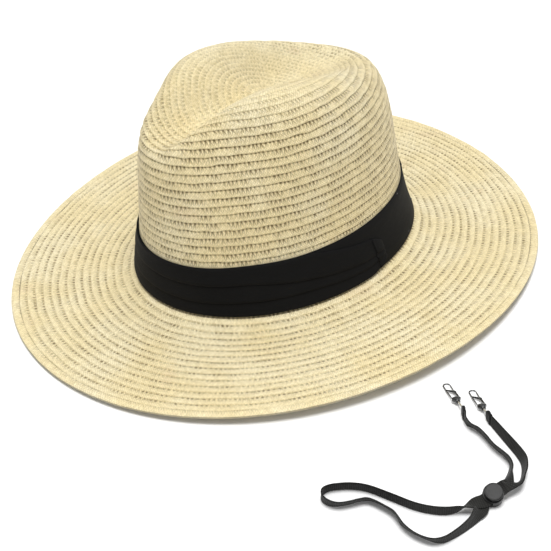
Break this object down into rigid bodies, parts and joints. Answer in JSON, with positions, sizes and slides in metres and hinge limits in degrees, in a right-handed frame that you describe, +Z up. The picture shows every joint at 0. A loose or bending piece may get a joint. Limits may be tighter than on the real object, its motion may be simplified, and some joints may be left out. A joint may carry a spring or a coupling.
{
  "type": "sun hat",
  "caption": "Straw fedora sun hat of sewn braid with a teardrop crown, wide drooping brim, pleated black band and a detachable chin strap with swivel clips and a push-button lock.",
  "frame": {"origin": "middle of the hat's outline, on the surface that the brim's lowest point rests on", "axes": "+Z up through the crown, -Y to the front of the hat, +X to the wearer's left"},
  "size_m": [0.4264, 0.375, 0.1471],
  "materials": {
    "straw": "sewn paper braid",
    "straw_edge": "doubled braid row",
    "band_cloth": "pleated cotton",
    "thread_black": "thread",
    "sweat_cloth": "ribbed ribbon",
    "thread_straw": "thread",
    "loop_tape": "brushed loop",
    "hook_tape": "moulded hook",
    "webbing_cloth": "flat woven",
    "ring_metal": "black",
    "sleeve_black": "folded and sewn",
    "link_metal": "plain",
    "clip_black": "gloss black",
    "gate_metal": "plain wire",
    "lock_plastic": "satin moulded",
    "spring_steel": "plain"
  },
  "bodies": {
    "hat": {"crown": "straw", "brim": "straw", "brim_edge": "straw_edge", "band_lining": "band_cloth", "band_pleat_top": "band_cloth", "band_pleat_middle": "band_cloth", "band_pleat_bottom": "band_cloth", "band_fold_end": "band_cloth", "band_stitches": "thread_black", "sweatband": "sweat_cloth", "sweatband_stitches": "thread_straw", "size_loop_tape": "loop_tape", "size_hook_tape": "hook_tape", "strap_tab_left": "webbing_cloth", "strap_tab_right": "webbing_cloth"},
    "ring_left": {"strap_ring_left": "ring_metal"},
    "ring_right": {"strap_ring_right": "ring_metal"},
    "strap": {"webbing": "webbing_cloth", "end_sleeve_1": "sleeve_black", "end_sleeve_2": "sleeve_black", "swivel_link_1": "link_metal", "swivel_link_2": "link_metal"},
    "clip_1": {"clip_body_1": "clip_black"},
    "clip_2": {"clip_body_2": "clip_black"},
    "gate_1": {"clip_gate_1": "gate_metal"},
    "gate_2": {"clip_gate_2": "gate_metal"},
    "lock": {"lock_body": "lock_plastic", "lock_spring": "spring_steel"},
    "button": {"lock_button": "lock_plastic"}
  },
  "joints": [
    {"name": "ring_left_swing", "type": "hinge", "parent": "hat", "child": "ring_left", "pos_m": [0.0737, 0, 0.01698], "axis": [0, 1, 0], "range_deg": [-12, 100]},
    {"name": "ring_right_swing", "type": "hinge", "parent": "hat", "child": "ring_right", "pos_m": [-0.0737, 0, 0.01698], "axis": [0, -1, 0], "range_deg": [-12, 100]},
    {"name": "strap_lift", "type": "slide", "parent": "hat", "child": "strap", "axis": [0, 0, 1], "range_m": [0, 0.15]},
    {"name": "clip_1_swivel", "type": "hinge", "parent": "strap", "child": "clip_1", "pos_m": [0.1916, -0.0353, 0.0032], "axis": [-0.8823, 0.4496, -0.1392], "continuous": true},
    {"name": "gate_1_open", "type": "hinge", "parent": "clip_1", "child": "gate_1", "pos_m": [0.18353, -0.02933, 0.00181], "axis": [-0.124, 0.0632, 0.9903], "range_deg": [0, 20], "stiffness_Nm_per_rad": 0.004, "springref_deg": -5.73},
    {"name": "clip_2_swivel", "type": "hinge", "parent": "strap", "child": "clip_2", "pos_m": [0.206, -0.0296, 0.0032], "axis": [-0.8661, 0.4801, -0.1392], "continuous": true},
    {"name": "gate_2_open", "type": "hinge", "parent": "clip_2", "child": "gate_2", "pos_m": [0.19814, -0.02336, 0.00181], "axis": [-0.1217, 0.0675, 0.9903], "range_deg": [0, 20], "stiffness_Nm_per_rad": 0.004, "springref_deg": -5.73},
    {"name": "lock_slide", "type": "slide", "parent": "strap", "child": "lock", "axis": [0.1718, 0.9619, 0.2128], "range_m": [0, 0.003]},
    {"name": "lock_press", "type": "slide", "parent": "lock", "child": "button", "axis": [-0.2949, 0.2563, -0.9205], "range_m": [0, 0.0012], "stiffness_N_per_m": 900, "springref_m": -0.001, "deforming": ["lock_spring"]}
  ]
}
